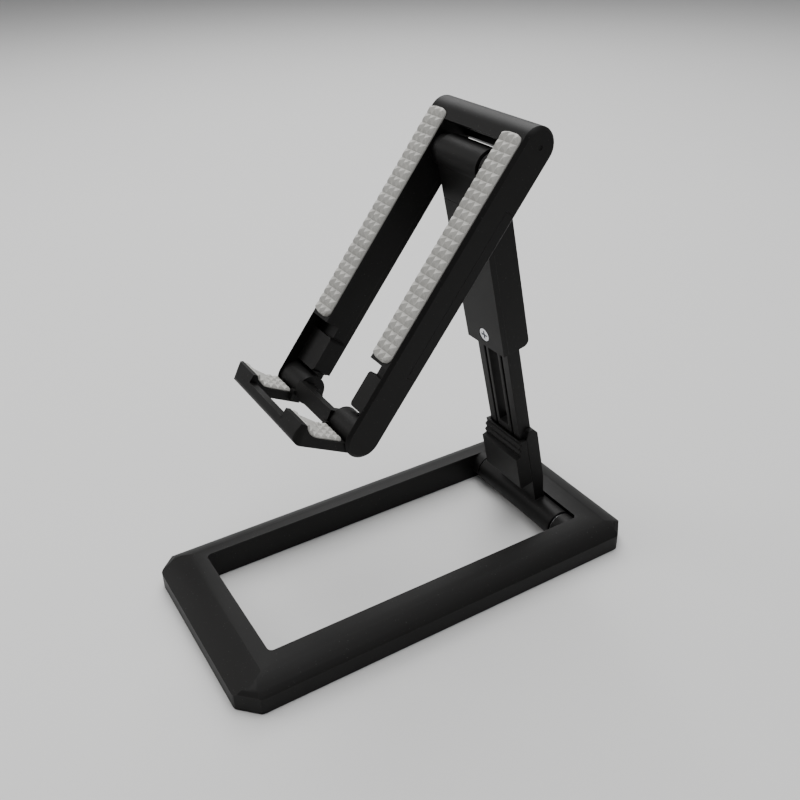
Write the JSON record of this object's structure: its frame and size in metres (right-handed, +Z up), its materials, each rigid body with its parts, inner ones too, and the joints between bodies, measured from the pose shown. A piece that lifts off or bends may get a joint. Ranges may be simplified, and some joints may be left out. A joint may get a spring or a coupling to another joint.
{
  "type": "phone stand",
  "caption": "Folding desk stand for a phone: ring base, telescopic leg, tilting two-rail cradle with grip pads and a folding lower hook.",
  "frame": {"origin": "centre of the base ring's footprint, on the desk", "axes": "+Z up, -Y toward the user and the hook, +X to the right seen from the front; mirror plane X = 0"},
  "size_m": [0.068, 0.136, 0.1373],
  "materials": {
    "black_plastic": "fine matte moulded",
    "grey_silicone": "soft matte",
    "foot_rubber": "matte",
    "pin_steel": "drawn",
    "screw_zinc": "bright zinc",
    "shoe_plastic": "natural acetal"
  },
  "bodies": {
    "base": {"base_shell": "black_plastic", "base_cover": "black_plastic", "base_feet": "foot_rubber", "base_cover_screws": "screw_zinc", "base_hinge_pin": "pin_steel", "base_hinge_washers": "pin_steel"},
    "lower_arm": {"lower_arm": "black_plastic", "arm_front_cover": "black_plastic", "slide_shoe": "shoe_plastic"},
    "sleeve": {"sleeve_body": "black_plastic", "sleeve_front_cover": "black_plastic", "sleeve_screw": "screw_zinc", "cradle_hinge_pin": "pin_steel", "cradle_hinge_washers": "pin_steel"},
    "cradle": {"cradle_frame": "black_plastic", "cradle_back_cover": "black_plastic", "cradle_back_screws": "screw_zinc", "cradle_pad_left": "grey_silicone", "cradle_pad_right": "grey_silicone", "hook_hinge_pins": "pin_steel"},
    "hook": {"hook_body": "black_plastic", "hook_pad_left": "grey_silicone", "hook_pad_right": "grey_silicone"}
  },
  "joints": [
    {"name": "base_hinge", "type": "hinge", "parent": "base", "child": "lower_arm", "pos_m": [0, 0.0503, 0.0053], "axis": [1, 0, 0], "range_deg": [-12, 25]},
    {"name": "leg_slide", "type": "slide", "parent": "lower_arm", "child": "sleeve", "axis": [0, -0.2079, 0.9781], "range_m": [-0.029, 0.008]},
    {"name": "cradle_hinge", "type": "hinge", "parent": "sleeve", "child": "cradle", "pos_m": [0, 0.02485, 0.12502], "axis": [1, 0, 0], "range_deg": [-50, 38]},
    {"name": "hook_hinge", "type": "hinge", "parent": "cradle", "child": "hook", "pos_m": [0, -0.02162, 0.06489], "axis": [1, 0, 0], "range_deg": [-85, 0]}
  ]
}
